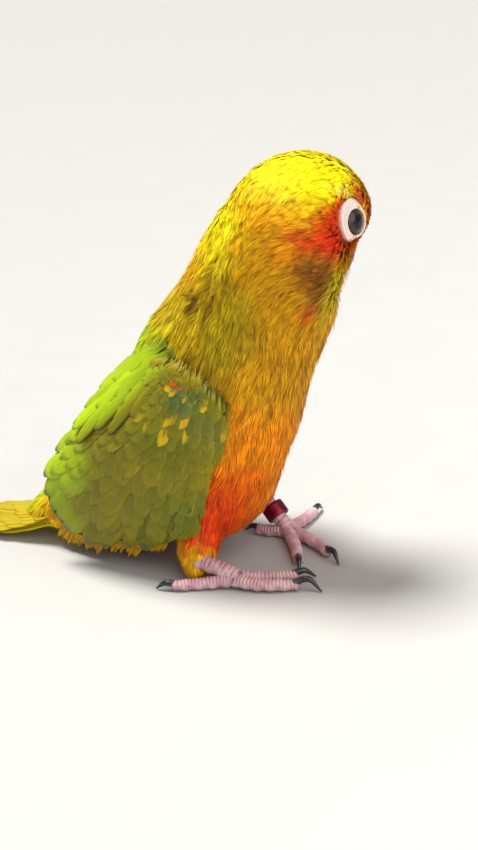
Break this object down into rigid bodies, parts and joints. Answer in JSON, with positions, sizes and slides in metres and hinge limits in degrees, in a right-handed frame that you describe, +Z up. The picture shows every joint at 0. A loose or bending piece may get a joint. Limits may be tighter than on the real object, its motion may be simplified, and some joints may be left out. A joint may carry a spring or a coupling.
{
  "type": "sun conure",
  "caption": "Life-size still model of a standing sun conure, its head turned to the left, with a metal ring on its left leg.",
  "frame": {"origin": "middle of the bounding box, on the floor that the feet and tail rest on", "axes": "+X the way the body faces, +Y the bird's left side, +Z up"},
  "size_m": [0.263, 0.0798, 0.1455],
  "materials": {
    "yellow_feathers": "soft matte feathers",
    "orange_feathers": "soft matte feathers",
    "green_feathers": "satin flight and tail feathers",
    "skin": "scaled satin skin",
    "claw": "smooth horn, standing in as gloss plastic",
    "bill": "satin horn, standing in as gloss plastic",
    "eye": "wet gloss",
    "ring_metal": "anodised satin"
  },
  "bodies": {
    "root": {"head": "yellow_feathers", "neck": "yellow_feathers", "torso": "orange_feathers", "beak_upper": "bill", "beak_lower": "bill", "tail": "green_feathers", "eye_left": "eye", "wing_left": "green_feathers", "thigh_left": "orange_feathers", "foot_left": "skin", "claw_left_1": "claw", "claw_left_2": "claw", "claw_left_3": "claw", "claw_left_4": "claw", "eye_right": "eye", "wing_right": "green_feathers", "thigh_right": "orange_feathers", "foot_right": "skin", "claw_right_1": "claw", "claw_right_2": "claw", "claw_right_3": "claw", "claw_right_4": "claw", "leg_ring": "ring_metal"}
  },
  "joints": []
}
